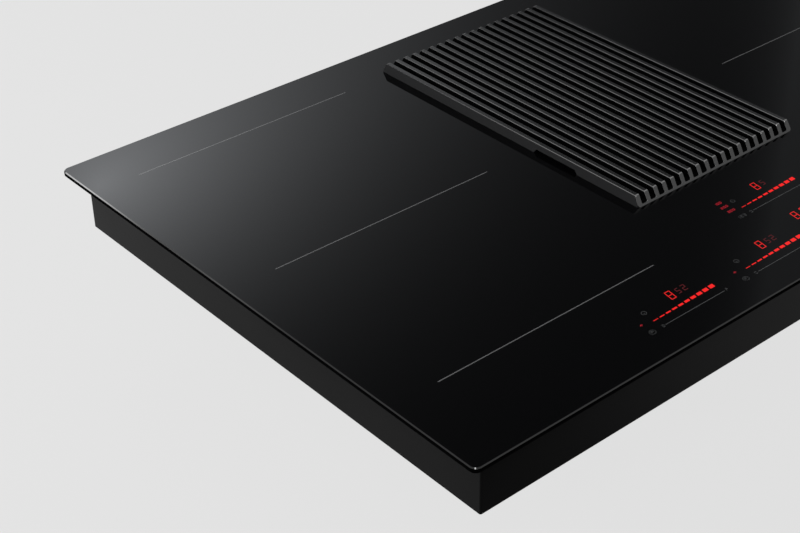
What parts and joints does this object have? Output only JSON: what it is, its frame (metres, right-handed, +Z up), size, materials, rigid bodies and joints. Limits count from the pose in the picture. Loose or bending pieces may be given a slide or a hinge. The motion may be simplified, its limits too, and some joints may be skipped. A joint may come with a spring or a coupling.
{
  "type": "downdraft induction cooktop",
  "caption": "Built-in black glass induction hob with a slatted centre vent, grease filter, drip drawer and an extractor fan with a flat-duct outlet below.",
  "frame": {"origin": "middle of the bounding box's bottom face, on the surface that the fan housing stands on", "axes": "+Z up, +X to the cook's right, +Y to the back of the worktop"},
  "size_m": [0.83, 0.515, 0.229],
  "materials": {
    "glass_black": "polished black ceramic glass",
    "seal_black": "matt",
    "steel_black": "satin black powder coat",
    "grille_grey": "satin dark grey",
    "plastic_black": "fine grain",
    "plastic_grey": "fine grain",
    "steel_bright": "brushed",
    "steel_stack": "bare lamination stack",
    "aluminium": "mill",
    "copper": "enamelled copper litz",
    "ferrite": "matt",
    "mica": "pressed mica",
    "blanket": "felted fibre",
    "white_plastic": "satin",
    "board_green": "solder mask",
    "cable": "silicone sleeve",
    "ribbon": "satin"
  },
  "bodies": {
    "hob": {"glass_top": "glass_black", "worktop_seal": "seal_black", "glass_bond": "seal_black", "well_seal": "seal_black", "motor_bushes": "seal_black", "base_pan": "steel_black", "intake_well": "plastic_black", "lower_housing": "plastic_black", "upper_housing": "plastic_black", "fan_deck": "plastic_black", "inlet_ring": "plastic_black", "fan_scroll": "plastic_black", "outlet_collar": "plastic_black", "touch_holder": "plastic_black", "cable_gland": "plastic_black", "cooler_case_left": "plastic_black", "cooler_case_right": "plastic_black", "terminal_block": "plastic_grey", "motor_mount_plate": "steel_bright", "motor_can": "steel_bright", "motor_bearings": "steel_bright", "flap_pins": "steel_bright", "pan_head_screws": "steel_bright", "touch_springs": "steel_bright", "motor_stator": "steel_stack", "coil_carrier_left": "aluminium", "coil_carrier_right": "aluminium", "heat_sinks": "aluminium", "carrier_posts": "aluminium", "coil_front_left": "copper", "coil_back_left": "copper", "coil_front_right": "copper", "coil_back_right": "copper", "ferrite_bars": "ferrite", "mica_sheets": "mica", "insulation_blankets": "blanket", "coil_sensors": "white_plastic", "board_standoffs": "white_plastic", "display_guides": "white_plastic", "power_board_left": "board_green", "power_board_right": "board_green", "touch_board": "board_green", "filter_board": "board_green", "coil_leads": "cable", "ribbon_cable": "ribbon"},
    "grille_cover": {"grille": "grille_grey", "grille_feet": "seal_black"},
    "grease_filter": {"filter_basket": "plastic_grey", "filter_mesh_left": "steel_bright", "filter_mesh_right": "steel_bright", "filter_handle": "steel_bright"},
    "drawer": {"drip_drawer": "plastic_grey"},
    "fan": {"fan_wheel": "plastic_grey", "motor_rotor": "steel_stack", "motor_shaft": "steel_bright"},
    "upper_flap": {"flap_top": "plastic_black"},
    "middle_flap": {"flap_middle": "plastic_black"},
    "lower_flap": {"flap_bottom": "plastic_black"},
    "left_cooler": {"cooler_rotor_left": "plastic_grey"},
    "right_cooler": {"cooler_rotor_right": "plastic_grey"}
  },
  "joints": [
    {"name": "filter_lift", "type": "slide", "parent": "hob", "child": "grease_filter", "axis": [0, 0, 1], "range_m": [0, 0.1]},
    {"name": "grille_lift", "type": "slide", "parent": "grease_filter", "child": "grille_cover", "axis": [0, 0, 1], "range_m": [0, 0.06]},
    {"name": "drawer_slide", "type": "slide", "parent": "hob", "child": "drawer", "axis": [0, -1, 0], "range_m": [0, 0.2]},
    {"name": "fan_spin", "type": "hinge", "parent": "hob", "child": "fan", "pos_m": [0.19665, 0.022, 0.05], "axis": [0, 0, 1], "continuous": true},
    {"name": "left_cooler_spin", "type": "hinge", "parent": "hob", "child": "left_cooler", "pos_m": [-0.26, 0.1642, 0.178], "axis": [0, 0, 1], "continuous": true},
    {"name": "right_cooler_spin", "type": "hinge", "parent": "hob", "child": "right_cooler", "pos_m": [0.26, 0.1642, 0.178], "axis": [0, 0, 1], "continuous": true},
    {"name": "upper_flap_hinge", "type": "hinge", "parent": "hob", "child": "upper_flap", "pos_m": [0.21585, 0.2192, 0.09275], "axis": [1, 0, 0], "range_deg": [0, 75]},
    {"name": "middle_flap_hinge", "type": "hinge", "parent": "hob", "child": "middle_flap", "pos_m": [0.21585, 0.2192, 0.06588], "axis": [1, 0, 0], "range_deg": [0, 75]},
    {"name": "lower_flap_hinge", "type": "hinge", "parent": "hob", "child": "lower_flap", "pos_m": [0.21585, 0.2192, 0.03902], "axis": [1, 0, 0], "range_deg": [0, 75]}
  ]
}
